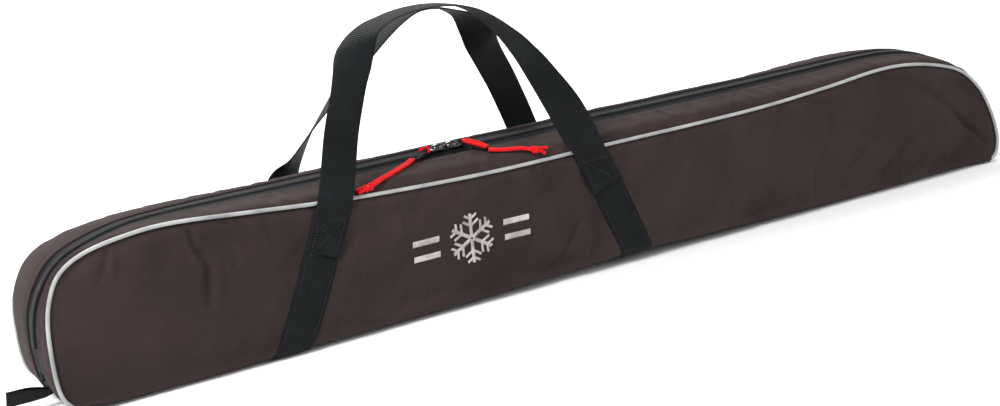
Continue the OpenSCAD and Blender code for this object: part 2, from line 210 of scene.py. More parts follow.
def tube_grid(line, radius, sides=10):
    """Rings round a line; radius is a number or one for each point."""
    line = np.asarray(line, float)
    a, b = side_directions(line)
    angle = np.linspace(0, 2 * math.pi, sides, endpoint=False)[None, :, None]
    radius = np.broadcast_to(radius, (len(line),))[:, None, None]
    ring = a[:, None] * np.cos(angle) - b[:, None] * np.sin(angle)
    points = line[:, None] + radius * ring
    along = lengths(line)
    around = np.linspace(0, 2 * math.pi, sides + 1)
    uv = np.stack(np.broadcast_arrays(around[None] * np.mean(radius), along[:, None]), -1)
    return points, uv


def tube(name, line, radius, material, sides=10):
    return joined(name, [tube_grid(line, radius, sides)], material)


def strap_grid(line, across, width, thick, cup=0.0):
    """A flat strap along a line: across is the direction of its width at each point."""
    heading = unit(np.gradient(line, axis=0))
    normal = unit(np.cross(heading, across))
    width = np.broadcast_to(width, (len(line),))
    spread = np.sin(np.linspace(-math.pi / 2, math.pi / 2, 13))
    depth = np.sqrt(np.clip(1 - np.abs(spread) ** 10, 0, 1)) * thick / 2
    loop = list(zip(spread, depth)) + list(zip(spread[-2:0:-1], -depth[-2:0:-1]))
    points = np.stack([line + across * (s * width / 2)[:, None]
                       + normal * (d + cup * (s * s - 0.4)) for s, d in loop], 1)
    along = lengths(line)
    u = np.array([s * np.mean(width) / 2 for s, _ in loop] + [loop[0][0] * np.mean(width) / 2])
    uv = np.stack(np.broadcast_arrays(u[None], along[:, None]), -1)
    return points, uv


def applied(made):
    """Replaces an object's mesh by the one its modifiers make."""
    bpy.context.view_layer.update()
    graph = bpy.context.evaluated_depsgraph_get()
    mesh = bpy.data.meshes.new_from_object(made.evaluated_get(graph))
    made.modifiers.clear()
    made.data = mesh
    return made


def thicken(made, depth, offset=-1.0):
    """Gives a sheet its thickness, with closed edges."""
    solid = made.modifiers.new("thickness", "SOLIDIFY")
    solid.thickness = depth
    solid.offset = offset
    solid.use_rim = True
    return applied(made)


def bend_with_flap(made):
    """Bakes a piece's placement into its mesh points."""
    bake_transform(made)
    return made


# ---------- materials ----------

def new_material(name, colour, roughness, **sockets):
    made = bpy.data.materials.new(name)
    made.use_nodes = True
    made.diffuse_color = (*colour, 1)
    shader = made.node_tree.nodes["Principled BSDF"]
    shader.inputs["Base Color"].default_value = (*colour, 1)
    shader.inputs["Roughness"].default_value = roughness
    for key, value in sockets.items():
        shader.inputs[key.replace("_", " ")].default_value = value
    return made


def add(tree, kind, settings=(), **inputs):
    """Adds a node; an input given as a socket is linked."""
    made = tree.nodes.new(kind)
    for key, value in settings:
        setattr(made, key, value)
    for key, value in inputs.items():
        put(tree, made.inputs[key.replace("_", " ")], value)
    return made


def put(tree, socket, value):
    if isinstance(value, bpy.types.NodeSocket):
        tree.links.new(value, socket)
    else:
        socket.default_value = value


def maths(tree, operation, a, b=0.0):
    made = tree.nodes.new("ShaderNodeMath")
    made.operation = operation
    put(tree, made.inputs[0], a)
    put(tree, made.inputs[1], b)
    return made.outputs[0]


def weighted(tree, *parts, base=0.0):
    """A sum of values, each times its weight, on a base."""
    total = base
    for value, weight in parts:
        total = maths(tree, "ADD", maths(tree, "MULTIPLY", value, weight), total)
    return total


def cloth_axes(tree):
    """The two distances over the cloth, in metres."""
    uv = add(tree, "ShaderNodeUVMap", [("uv_map", "cloth")])
    split = add(tree, "ShaderNodeSeparateXYZ", Vector=uv.outputs[0])
    return split.outputs[0], split.outputs[1]


def sine(tree, value, period):
    return maths(tree, "SINE", maths(tree, "MULTIPLY", value, 2 * math.pi / period))


def noise(tree, scale, detail=3.0, roughness=0.55):
    place = add(tree, "ShaderNodeTexCoord").outputs["Object"]
    made = add(tree, "ShaderNodeTexNoise", Vector=place, Scale=scale, Detail=detail, Roughness=roughness)
    return made.outputs["Fac"]


def shaded(tree, value, dark, light, low=0.3, high=0.75):
    """A colour between dark and light."""
    ramp = tree.nodes.new("ShaderNodeValToRGB")
    ramp.color_ramp.elements[0].position = low
    ramp.color_ramp.elements[0].color = (*dark, 1)
    ramp.color_ramp.elements[1].position = high
    ramp.color_ramp.elements[1].color = (*light, 1)
    tree.links.new(value, ramp.inputs[0])
    return ramp.outputs[0]


def finish_surface(made, colour=None, roughness=None, height=None, depth=0.0003, strength=0.6):
    """Links a colour, a roughness and a height to a material's shader."""
    tree = made.node_tree
    shader = tree.nodes["Principled BSDF"]
    if colour is not None:
        tree.links.new(colour, shader.inputs["Base Color"])
    if roughness is not None:
        tree.links.new(roughness, shader.inputs["Roughness"])
    if height is not None:
        bump = add(tree, "ShaderNodeBump", Height=height, Distance=depth, Strength=strength)
        tree.links.new(bump.outputs[0], shader.inputs["Normal"])
    return made


def woven(name, dark, light, yarn=0.0011, mottle=9.0, sheen=0.03, roughness=0.8):
    """Plain-weave coated cloth with slightly uneven dye and paler worn edges."""
    made = new_material(name, light, roughness, Sheen_Weight=sheen, Sheen_Roughness=0.5,
                        Specular_IOR_Level=0.08)
    tree = made.node_tree
    u, v = cloth_axes(tree)
    over = maths(tree, "MULTIPLY", sine(tree, u, yarn), sine(tree, v, yarn))
    weave = weighted(tree, (over, 0.5), base=0.5)
    cloudy = noise(tree, mottle, 5.0)
    grain = noise(tree, 420.0, 2.0)
    wear = add(tree, "ShaderNodeAttribute", [("attribute_name", "wear")]).outputs["Fac"]
    tone = weighted(tree, (cloudy, 0.62), (grain, 0.2), (weave, 0.16), (wear, 0.3))
    colour = shaded(tree, tone, dark, light, 0.3, 0.72)
    rough = weighted(tree, (cloudy, 0.12), base=roughness - 0.06)
    height = weighted(tree, (grain, 0.7), base=weave)
    return finish_surface(made, colour, rough, height, 0.00022, 0.55)


def ribbed(name, dark, light, rib=0.0021, yarn=0.0014, roughness=0.6, sheen=0.05, depth=0.0005,
           specular=0.25):
    """Webbing or tape: ribs across its length, and yarns along it."""
    made = new_material(name, light, roughness, Sheen_Weight=sheen, Sheen_Roughness=0.4,
                        Specular_IOR_Level=specular)
    tree = made.node_tree
    u, v = cloth_axes(tree)
    wave = sine(tree, v, rib)
    yarns = sine(tree, u, yarn)
    height = weighted(tree, (maths(tree, "MULTIPLY", wave, yarns), 0.6), base=wave)
    cloudy = noise(tree, 22.0, 4.0)
    fuzz = noise(tree, 600.0, 2.0)
    tone = weighted(tree, (cloudy, 0.6), (height, 0.11), (fuzz, 0.25))
    colour = shaded(tree, tone, dark, light, 0.25, 0.75)
    rough = weighted(tree, (cloudy, 0.2), base=roughness - 0.1)
    return finish_surface(made, colour, rough, height, depth, 0.7)


def piping_material():
    """Silver-grey reflective ribbon over a cord, with fine cross lines."""
    made = new_material("piping_ribbon", (0.5, 0.52, 0.52), 0.42, Sheen_Weight=0.15,
                        Specular_IOR_Level=0.5, Coat_Weight=0.1, Coat_Roughness=0.4)
    tree = made.node_tree
    lines = sine(tree, cloth_axes(tree)[1], 0.0016)
    cloudy = noise(tree, 30.0, 4.0)
    tone = weighted(tree, (lines, 0.05), base=cloudy)
    colour = shaded(tree, tone, (0.18, 0.19, 0.193), (0.35, 0.36, 0.35), 0.3, 0.7)
    return finish_surface(made, colour, None, lines, 0.0002, 0.4)


def cord_material():
    """Bright red braided cord."""
    made = new_material("red_braid", (0.72, 0.012, 0.014), 0.6, Sheen_Weight=0.03, Sheen_Roughness=0.4,
                        Specular_IOR_Level=0.12)
    tree = made.node_tree
    u, v = cloth_axes(tree)
    left = maths(tree, "ADD", v, u)
    right = maths(tree, "SUBTRACT", v, u)
    braid = maths(tree, "MULTIPLY", sine(tree, left, 0.0022), sine(tree, right, 0.0022))
    fuzz = noise(tree, 500.0, 2.0)
    tone = weighted(tree, (braid, 0.3), base=fuzz)
    colour = shaded(tree, tone, (0.38, 0.002, 0.004), (0.86, 0.008, 0.012), 0.2, 0.72)
    return finish_surface(made, colour, None, braid, 0.0004, 0.7)


def enamel(name, dark, light, roughness, metallic=0.0, coat=0.4, specular=0.5):
    """Painted or plated metal with fine scuffs."""
    made = new_material(name, light, roughness, Metallic=metallic, Coat_Weight=coat,
                        Coat_Roughness=0.12, Specular_IOR_Level=specular)
    tree = made.node_tree
    scuffs = noise(tree, 260.0, 6.0, 0.7)
    cloudy = noise(tree, 60.0, 3.0)
    tone = weighted(tree, (scuffs, 0.5), (cloudy, 0.5))
    colour = shaded(tree, tone, dark, light, 0.35, 0.7)
    rough = weighted(tree, (scuffs, 0.25), base=roughness - 0.1)
    return finish_surface(made, colour, rough, scuffs, 0.000004, 0.3)


def thread_material(name, dark, light, roughness=0.42):
    """Shiny twisted thread."""
    made = new_material(name, light, roughness, Sheen_Weight=0.05, Specular_IOR_Level=0.3)
    tree = made.node_tree
    u, v = cloth_axes(tree)
    twist = sine(tree, maths(tree, "ADD", u, v), 0.0006)
    tone = weighted(tree, (twist, 0.12), base=noise(tree, 90.0, 3.0))
    colour = shaded(tree, tone, dark, light, 0.3, 0.7)
    return finish_surface(made, colour, None, twist, 0.0001, 0.5)


SHELL = woven("shell_cloth", (0.017, 0.0105, 0.0105), (0.040, 0.0265, 0.0258))
# The gusset's cloth is the shell's cloth made a little paler: painted light from above falling on the top
# of the bag.
GUSSET_PAINTED_PALER = woven("gusset_cloth", (0.02, 0.0125, 0.012), (0.046, 0.0315, 0.030), mottle=14.0, sheen=0.02)
WEBBING = ribbed("handle_webbing", (0.003, 0.0036, 0.004), (0.0105, 0.0135, 0.0145), sheen=0.01,
                 specular=0.1)
TAPE = ribbed("zip_tape_twill", (0.003, 0.0034, 0.004), (0.009, 0.0105, 0.0125), 0.0011, 0.0011,
              0.62, 0.0, 0.00025, 0.1)
BINDING = ribbed("seam_binding_tape", (0.006, 0.006, 0.006), (0.014, 0.014, 0.014), 0.0014, 0.0014)
COIL = enamel("nylon_coil", (0.004, 0.004, 0.005), (0.013, 0.014, 0.016), 0.45, coat=0.05)
STOP = enamel("stop_plastic", (0.004, 0.004, 0.004), (0.011, 0.011, 0.011), 0.75, 0.0, 0.0, 0.1)
PIPING = piping_material()
CORD = cord_material()
SLIDER = enamel("slider_enamel", (0.005, 0.0035, 0.003), (0.016, 0.009, 0.007), 0.22, 0.0, 0.5)
PULL = enamel("pull_enamel", (0.005, 0.005, 0.005), (0.013, 0.013, 0.013), 0.75, 0.0, 0.0, 0.08)
EMBROIDERY = thread_material("silver_thread", (0.30, 0.265, 0.25), (0.62, 0.565, 0.54))
BLACK_THREAD = thread_material("black_thread", (0.005, 0.006, 0.006), (0.016, 0.018, 0.019), 0.55)
STITCH_THREAD = thread_material("seam_thread", (0.012, 0.009, 0.009), (0.035, 0.027, 0.026), 0.5)


# ---------- camera, light and floor ----------

def add_camera():
    """The photograph's view: its heading, tilt, roll and long side of the picture."""
    yaw, pitch, roll = math.radians(30.42), math.radians(14.27), math.radians(-5.51)
    ahead = Vector((math.sin(yaw) * math.cos(pitch), math.cos(yaw) * math.cos(pitch), -math.sin(pitch)))
    level = Vector((math.cos(yaw), -math.sin(yaw), 0))
    rise = level.cross(ahead)
    right = level * math.cos(roll) + rise * math.sin(roll)
    up = rise * math.cos(roll) - level * math.sin(roll)
    camera = bpy.data.objects.new("camera", bpy.data.cameras.new("camera"))
    bpy.context.scene.collection.objects.link(camera)
    turn = Matrix((right, up, -ahead)).transposed().to_4x4()
    camera.matrix_world = Matrix.Translation((-0.9437, -1.4408, 0.5095)) @ turn
    camera.data.sensor_width = 36
    camera.data.lens = 57.6
    camera.data.clip_start = 0.05
    camera.data.clip_end = 60
    bpy.context.scene.camera = camera


def add_light(name, place, target, size, power, colour=(1, 1, 1)):
    light = bpy.data.lights.new(name, "AREA")
    light.shape = "DISK"
    light.size = size
    light.energy = power
    light.color = colour
    made = bpy.data.objects.new(name, light)
    made.location = place
    made.rotation_euler = (Vector(target) - Vector(place)).to_track_quat("-Z", "Y").to_euler()
    bpy.context.scene.collection.objects.link(made)


def add_stage():
    """A plain pale floor and soft studio light."""
    world = bpy.data.worlds.new("studio")
    world.use_nodes = True
    world.node_tree.nodes["Background"].inputs["Color"].default_value = (1, 1, 1, 1)
    world.node_tree.nodes["Background"].inputs["Strength"].default_value = 0.62
    bpy.context.scene.world = world
    bpy.context.scene.view_settings.view_transform = "Standard"
    add_light("key", (-1.7, -0.7, 1.6), (-0.1, 0, 0.08), 0.9, 60)
    add_light("fill", (1.6, -1.9, 1.5), (0.1, 0, 0.08), 1.8, 22)
    add_light("top", (0.3, 1.1, 2.4), (0, 0, 0.1), 1.6, 28, (0.94, 0.97, 1))
    add_light("wash", (0.5, 5.5, 4.5), (0.5, 7, 0), 4, 900)
    pale = new_material("pale_floor", (0.9, 0.9, 0.9), 0.7, Specular_IOR_Level=0.1)
    tree = pale.node_tree
    colour = shaded(tree, noise(tree, 3.0), (0.87, 0.87, 0.87), (0.9, 0.9, 0.9))
    finish_surface(pale, colour)
    corners = [(14 * x, 14 * y, FLOOR_Z) for x, y in ((-1, -1), (1, -1), (1, 1), (-1, 1))]
    mesh_object("floor", corners, [(0, 1, 2, 3)], None, pale)


add_camera()
add_stage()


# ---------- pull cords ----------

LEFT_CORD_ROUTE = [
    (-212, -27.5, 159.4), (-219, -31, 157.6), (-232, -37.5, 155.8), (-250, -46, 153.8),
    (-264, -52.4, 152.4), (-273, -55.8, 150.4), (-279, -57.4, 148.8),
]
RIGHT_CORD_ROUTE = [
    (-128.2, -39, 155.4), (-122, -43.5, 154.4), (-111, -48.5, 153.4), (-98, -52, 152.6),
    (-89, -55.2, 150.4), (-83, -57.2, 148.8),
]
LEFT_TAILS = (
    [(-285, -57, 149.4), (-292, -57.4, 148.4)],
    [(-285, -59, 147.6), (-291, -60, 146)],
)
RIGHT_TAILS = (
    [(-77, -57.4, 149.2), (-68, -57.8, 148)],
    [(-78, -59, 147.2), (-73, -60.2, 143.6)],
)


def strand_line(route, tail, side):
    """One strand of a doubled cord, beside the route's line, with its cut tail."""
    p = np.array(route)
    last = len(p) - 1
    rows = []
    for i, point in enumerate(p):
        heading = p[min(i + 1, last)] - p[max(i - 1, 0)]
        across = unit(np.cross(heading, (0, 0, 1.0)))
        rows.append(point + side * across * STRAND_GAP / MM / (2 if i < last else 3))
    return np.concatenate([rows, np.array(tail)]) * MM


def braided(name, line, radius):
    """A braided cord: its skin rises and falls where the strands cross."""
    line = even(spline(line, 12), 0.0006)
    points, uv = tube_grid(line, radius, 16)
    along = lengths(line)[:, None]
    turn = np.linspace(0, 2 * math.pi, 16, endpoint=False)[None]
    swell = 0.05 * np.sin(4 * turn + along / 0.0011) * np.sin(4 * turn - along / 0.0011)
    centre = line[:, None]
    points = centre + (points - centre) * (1 + swell[..., None])
    points[-1] = centre[-1] + (points[-1] - centre[-1]) * 1.12
    return joined(name, [(points, uv)], CORD), line


def add_cords():
    """The four strands, with their lengths and where each leaves its pull."""
    for side, route, tails, turn in (("left", LEFT_CORD_ROUTE, LEFT_TAILS, 1),
                                     ("right", RIGHT_CORD_ROUTE, RIGHT_TAILS, -1)):
        for letter, tail, way in (("a", tails[0], turn), ("b", tails[1], -turn)):
            made, line = braided(f"{side}_pull_cord_{letter}", strand_line(route, tail, way), CORD_D / 2)
            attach(made, f"{side}_cords")
            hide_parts(f"{side}_cord_{letter}")


def knot_line(centre, heading, size):
    """The line of a tight overhand knot lying across a heading."""
    t = np.linspace(0, 2 * math.pi, 97)[:-1]
    shape = np.stack([np.sin(t) + 2 * np.sin(2 * t), np.cos(t) - 2 * np.cos(2 * t),
                      -1.5 * np.sin(3 * t)], 1) * size
    ahead = unit(np.array(heading, float))
    across = unit(np.cross((0, 0, 1.0), ahead))
    up = np.cross(ahead, across)
    return centre + shape @ np.stack([ahead, across * 0.86, up])


def add_knots():
    for side, route in (("left", LEFT_CORD_ROUTE), ("right", RIGHT_CORD_ROUTE)):
        end = np.array(route[-1]) * MM
        line = knot_line(end, end - np.array(route[-3]) * MM, 1.28 * MM)
        points, uv = tube_grid(np.concatenate([line, line[:1]]), 1.75 * MM, 12)
        twist = joined(f"{side}_knot", [(points, uv)], CORD, caps=False)
        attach(twist, f"{side}_cords")
        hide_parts(f"{side}_cord_knot")


def pull_frame(i):
    """Turns a pull's own axes, with X along it, into the bag's."""
    turn = Matrix.Rotation(math.radians(PULL_YAWS[i]), 4, "Z")
    tilt = Matrix.Rotation(math.radians(PULL_PITCH[i]), 4, "Y")
    return Matrix.Translation(PIVOTS[i]) @ turn @ tilt


def on_pull(i, points):
    matrix = np.array(pull_frame(i))
    return np.asarray(points) @ matrix[:3, :3].T + matrix[:3, 3]


def add_bights():
    """The cord where it is hitched round each pull."""
    z = (2.2 / 2 + 3.5 / 2 + 0.1)
    left = [(8.4, -3.9, -1.6), (8.8, -4.3, 0.6), (7.4, -1.8, z), (4.6, 0.6, z + 0.8), (3.4, 3.2, z - 0.6),
            (5.2, 4.6, 0.4), (5.6, 4.0, -1.4)]
    right = [(30.5, -1.9, z - 0.6), (20, -3.4, z), (10, -3.6, z), (5, -2.4, z), (3.4, 0, z), (5, 2.4, z),
             (10, 3.6, z), (20, 3.4, z), (30.5, 1.9, z - 0.6)]
    for side, i, line, radius in (("left", 0, left, 1.45), ("right", 1, right, 1.75)):
        made, _ = braided(f"{side}_cord_hitch", on_pull(i, np.array(line) * MM), radius * MM)
        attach(made, f"{side}_pull")
        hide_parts(f"{side}_cord_bight")


add_cords()
add_knots()
add_bights()


# ---------- the bag's outline ----------

class Outline:
    """Stations along the seam and the zip, from the left foot to the right foot."""

    def __init__(self, count):
        rows = soften(spline(OUTLINE, 16), 6)
        rows[0], rows[-1] = OUTLINE[0], OUTLINE[-1]
        rows = even(rows, 1, count) * MM
        self.seam = rows[:, :2]
        self.zip = rows[:, 2:]
        self.along = lengths(self.seam)
        self.count = count
        self.base_x = self.spread_base()
        x, z = self.seam[:, 0], self.seam[:, 1]
        self.rear_drop = (19 * smooth((-0.25 - x) / 0.13) * smooth((z - 0.05) / 0.09)
                          + 10 * bell((x - 0.525) / 0.05)) * MM
        corner = np.argmin(np.hypot(x + 0.588, z - 0.137))
        self.sway = -31 * MM * bell((self.along - self.along[corner]) / 0.07)

    def seam_height(self, side):
        """Height of the seam on one side; the rear one sags at the ends."""
        return self.seam[:, 1] - (self.rear_drop if side > 0 else 0)

    def spread_base(self):
        """X of each station where it meets the ground: fanned at the ends, upright between."""
        x, run = self.seam[:, 0], self.along
        base = x.copy()
        for end in (-1, 1):
            inside = np.where(x * end < 0.43)[0]
            edge = inside[0] if end < 0 else inside[-1]
            part = slice(0, edge + 1) if end < 0 else slice(edge, self.count)
            foot = 0 if end < 0 else self.count - 1
            share = np.abs(run[part] - run[foot]) / abs(run[edge] - run[foot])
            base[part] = x[foot] + (x[edge] - x[foot]) * share
        return base


LINE = Outline(640)


# ---------- main panel: front, base and back in one piece ----------

WALL, FOLD, BASE = 50, 8, 21
# Creases of the front: x, z at both ends, width and depth, all in mm; a negative depth is a ridge
FRONT_CREASES = [
    (-467, 152, -465, 130, 4.5, 3.4), (-465, 132, -455, 116, 4.5, 3.2), (-456, 117, -459, 76, 6, 3.4),
    (-474, 138, -463, 112, 5, -1.8), (-447, 120, -449, 84, 8, -1.6),
    (-546, 149, -548, 134, 4, 2.2), (-548, 136, -556, 122, 5, 2.0), (-541, 140, -545, 122, 5, -1.2),
    (392, 152, 430, 133, 5, 3.2), (430, 133, 474, 117, 6, 3.2), (474, 117, 524, 82, 7, 3.6),
    (524, 82, 586, 26, 6, 4.0), (470, 104, 540, 52, 11, -2.0), (362, 147, 378, 122, 5, 2.2),
    (-98, 143, -80, 116, 4.5, 2.8), (-80, 116, -62, 84, 6, 2.4), (-76, 138, -62, 100, 6, 2.2),
    (-43, 62, -66, 28, 6, 2.4), (-66, 28, -90, 10, 7, 2.0), (-88, 108, -70, 62, 8, -1.8),
    (-30, 112, -8, 74, 7, 1.8), (352, 92, 388, 68, 9, 2.2), (388, 68, 352, 40, 9, 2.2),
    (-210, 135, -196, 122, 5, 1.6), (448, 56, 424, 40, 8, 2.4), (424, 40, 396, 28, 8, 2.2),
    (90, 134, 100, 104, 7, 1.8), (180, 136, 170, 112, 7, 1.6), (250, 139, 262, 108, 7, 1.8),
    (-395, 148, -388, 120, 6, 1.8), (-330, 92, -300, 40, 12, 1.4),
]
BACK_CREASES = [
    (-500, 150, -478, 118, 6, 2.6), (-420, 146, -432, 108, 6, 2.2), (-250, 132, -262, 96, 7, 2.0),
    (-60, 132, -84, 92, 7, 2.4), (60, 120, 88, 66, 9, 2.2), (210, 134, 196, 98, 6, 2.4),
    (330, 140, 352, 104, 6, 2.6), (440, 144, 486, 100, 7, 3.2), (486, 100, 560, 44, 8, 3.2),
    (-560, 120, -520, 60, 9, 2.6), (-150, 70, -120, 24, 9, 1.8), (280, 70, 320, 26, 10, 2.0),
]


def crease_depth(x, z, creases):
    """How far creases push a panel inwards at x, z."""
    pressed, raised = np.zeros_like(x), np.zeros_like(x)
    for x0, z0, x1, z1, width, depth in creases:
        width, depth = 0.72 * width, 1.35 * depth
        start, run = np.array((x0, z0)) * MM, np.array((x1 - x0, z1 - z0)) * MM
        t = np.clip(((x - start[0]) * run[0] + (z - start[1]) * run[1]) / (run @ run), 0, 1)
        away = np.hypot(x - start[0] - t * run[0], z - start[1] - t * run[1])
        middle = 0.45 + 0.55 * np.sin(math.pi * np.clip(t, 0.12, 0.88))
        amount = depth * MM * bell(away / (width * MM)) * middle
        pressed, raised = np.maximum(pressed, amount), np.minimum(raised, amount)
    return pressed + raised


def panel_section():
    """Shares of the way down a wall, round a fold and over the base, for each column of each."""
    return np.linspace(0, 1, WALL) ** 0.9, np.linspace(0, 1, FOLD + 2)[1:-1], np.linspace(0, 1, BASE)


def wall_bulge(x, z, top, side, seed):
    """Outward swell of a wall at x, z, where top is the seam's height there."""
    down = np.clip((top - z) / np.maximum(top, 1e-4), 0, 1)
    full = np.sin(math.pi * down ** 0.85) ** 0.7
    ends = smooth((0.61 - np.abs(x)) / 0.1)
    swell = (3.4 + 1.8 * np.sin(x / 0.17 + seed) + 1.2 * np.sin(x / 0.083 + 2.3 * seed)) * MM
    ripple = 0.9 * MM * np.sin(x / 0.031 + 4 * np.sin(z / 0.045 + seed)) * np.sin(z / 0.03 + x / 0.12)
    gather = 0.8 * MM * bell((top - z) / 0.022) * np.sin(x / 0.0105 + 2.2 * np.sin(x / 0.041))
    out = full * (swell * (0.35 + 0.65 * ends) + ripple) + gather * smooth((top - z) / 0.004)
    if side < 0:
        hollow = 7.5 * MM * bell((x - 0.56) / 0.045) * bell((z - 0.098) / 0.034)
        out = out - hollow * full ** 0.3 + 2.4 * MM * full * bell((x + 0.36) / 0.16)
    return out


def panel_grid():
    """Points of the main panel, stations by columns, with its cloth distances."""
    wall, fold, base = panel_section()
    cols = 2 * (WALL + FOLD) + BASE
    points = np.zeros((LINE.count, cols, 3))
    x_top = LINE.seam[:, 0]
    corner = 4.5 * MM * smooth((-0.545 - LINE.base_x) / 0.05)
    radius = np.minimum(0.013, 0.5 * (LINE.seam[:, 1] - corner))
    lift = 1.6 + 1.5 * np.sin(LINE.base_x / 0.19 + 1) + 0.8 * np.sin(LINE.base_x / 0.07)
    lift += 4.5 * bell(LINE.base_x / 0.15)
    lift = np.clip(lift, 0, None) * MM * smooth((LINE.seam[:, 1] - 0.02) / 0.05) + corner
    for side, seed in ((-1, 0.4), (1, 2.9)):
        z_top = LINE.seam_height(side)
        x = x_top[:, None] + (LINE.base_x - x_top)[:, None] * wall
        z = z_top[:, None] + (radius + lift - z_top)[:, None] * wall
        out = wall_bulge(x, z, np.broadcast_to(z_top[:, None], z.shape), side, seed)
        out = out * smooth((z_top[:, None] - z) / 0.006)
        out = out - 1.5 * MM * bell((z_top[:, None] - z) / 0.0035)
        for away in (LINE.along, LINE.along[-1] - LINE.along):
            out = out * smooth(away / 0.05)[:, None]
        y = side * (HALF_D + out)
        order = slice(0, WALL) if side < 0 else slice(cols - 1, cols - 1 - WALL, -1)
        points[:, order] = np.stack([x, y, z], -1)
        foot_y = y[:, -1]
        for k, share in enumerate(fold):
            angle = share * math.pi / 2
            column = WALL + k if side < 0 else cols - 1 - WALL - k
            points[:, column, 0] = LINE.base_x
            points[:, column, 1] = foot_y - side * radius * (1 - np.cos(angle))
            points[:, column, 2] = lift + radius * (1 - np.sin(angle))
    front = points[:, WALL - 1, 1] + radius
    back = points[:, cols - WALL, 1] - radius
    for k, share in enumerate(base):
        column = WALL + FOLD + k
        points[:, column, 0] = LINE.base_x
        points[:, column, 1] = front + (back - front) * share
        points[:, column, 2] = lift * (0.4 + 0.6 * abs(2 * share - 1))
    points = soften(points, 1, 1)
    steps = np.linalg.norm(np.diff(points, axis=1), axis=2)
    across = np.concatenate([np.zeros((LINE.count, 1)), np.cumsum(steps, axis=1)], 1)
    across = across - across[:, cols // 2][:, None]
    uv = np.stack([points[:, :, 0], across], -1)
    return points, uv


PANEL, PANEL_UV = panel_grid()


def stretched(values, count, axis):
    """Linear interpolation of values to so many rows or columns."""
    at = np.linspace(0, values.shape[axis] - 1, count)
    low = np.minimum(at.astype(int), values.shape[axis] - 2)
    part = (at - low).reshape([-1 if k == axis else 1 for k in range(values.ndim)])
    return np.take(values, low, axis) * (1 - part) + np.take(values, low + 1, axis) * part


def settle_panel(points):
    """Lets the panel's cloth buckle between its seams, the bands and the emblem; returns its points."""
    coarse = stretched(stretched(points, points.shape[0] // 2, 0), points.shape[1] // 2, 1)
    rows, cols = coarse.shape[:2]
    faces, _ = grid_parts(coarse, np.zeros((rows, cols, 2)))
    made = mesh_object("settling_cloth", coarse, [face[::-1] for face in faces])
    x, z = coarse[..., 0], coarse[..., 2]
    fixed = z < 0.012
    fixed[:2] = fixed[-2:] = True
    fixed[:, :2] = fixed[:, -2:] = True
    for foot in (-1, 1):
        middle = HANDLE_X + foot * (FOOT_X + BAND_LEAN * (1 - z / FOOT_Z))
        fixed |= np.abs(x - middle) < WEB_W * 0.55
    fixed |= (np.abs(x - HANDLE_X) < 0.075) & (np.abs(z - FLAKE_Z) < 0.032)
    held = made.vertex_groups.new(name="held")
    held.add([int(i) for i in np.flatnonzero(fixed.ravel())], 1.0, "REPLACE")
    cloth = made.modifiers.new("cloth", "CLOTH")
    for key, value in (("quality", 6), ("mass", 0.25), ("tension_stiffness", 25),
                       ("compression_stiffness", 25), ("shear_stiffness", 8), ("bending_stiffness", 0.35),
                       ("shrink_min", -0.03), ("vertex_group_mass", "held"), ("use_pressure", True),
                       ("uniform_pressure_force", 0.3)):
        setattr(cloth.settings, key, value)
    cloth.settings.effector_weights.gravity = 0
    cloth.collision_settings.use_collision = False
    scene = bpy.context.scene
    for step in range(1, 25):
        scene.frame_set(step)
    settled = applied(made)
    moved = np.zeros(rows * cols * 3)
    settled.data.vertices.foreach_get("co", moved)
    scene.frame_set(1)
    bpy.data.objects.remove(settled)
    shift = moved.reshape(rows, cols, 3) - coarse
    shift *= 0.3 + 0.7 * smooth((0.57 - np.abs(x[..., None])) / 0.13)
    size = np.linalg.norm(shift, axis=-1, keepdims=True)
    shift = shift * np.minimum(1, 5 * MM / np.maximum(size, 1e-9))
    shift = stretched(stretched(shift, points.shape[0], 0), points.shape[1], 1)
    return points + soften(soften(shift, 2, 0), 2, 1)


def creased(points):
    """Presses the creases into both walls."""
    cols = points.shape[1]
    for side, creases, part in ((-1, FRONT_CREASES, slice(0, WALL + 2)),
                                (1, BACK_CREASES, slice(cols - WALL - 2, cols))):
        wall = points[:, part]
        edge = np.arange(WALL + 2) if side < 0 else np.arange(WALL + 2)[::-1]
        hold = smooth(edge / 2.5) * smooth((WALL + 2 - edge) / 8)
        wall[..., 1] -= side * crease_depth(wall[..., 0], wall[..., 2], creases) * hold
    return points


def add_wear(made, values):
    """Stores how worn each point of a piece is."""
    layer = made.data.attributes.new("wear", "FLOAT", "POINT")
    layer.data.foreach_set("value", np.asarray(values, np.float32).ravel())


def add_panel():
    """The main panel, settled as cloth, with its thickness."""
    global PANEL
    PANEL = creased(settle_panel(PANEL))
    faces, corners = flipped(*grid_parts(PANEL, PANEL_UV))
    made = mesh_object("main_panel_cloth", PANEL, faces, corners, SHELL)
    cols = PANEL.shape[1]
    column, corner = np.arange(cols), WALL + FOLD / 2
    edge = bell(np.minimum(column, cols - 1 - column) / 2.5)
    fold = bell((column - corner) / 4) + bell((column - cols + corner) / 4)
    add_wear(made, np.broadcast_to(0.5 * edge + 0.5 * fold, PANEL.shape[:2]))
    made.data.update()
    tree = BVHTree.FromPolygons(PANEL.reshape(-1, 3).tolist(), faces)
    thicken(made, 1.4 * MM)
    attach(made, "bag")
    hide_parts("main_panel")
    return tree


PANEL_TREE = add_panel()


def wall_point(x, z, side=-1, proud=0.0):
    """The panel's outer face at x, z, moved out by proud."""
    hit, normal, _, _ = PANEL_TREE.ray_cast(Vector((x, side * 0.2, z)), Vector((0, -side, 0)))
    if hit is None:
        hit, normal = Vector((x, side * HALF_D, z)), Vector((0, side, 0))
    if normal.y * side < 0:
        normal = -normal
    return np.array(hit + normal * proud)


# ---------- top: gusset strips, tapes and zip ----------

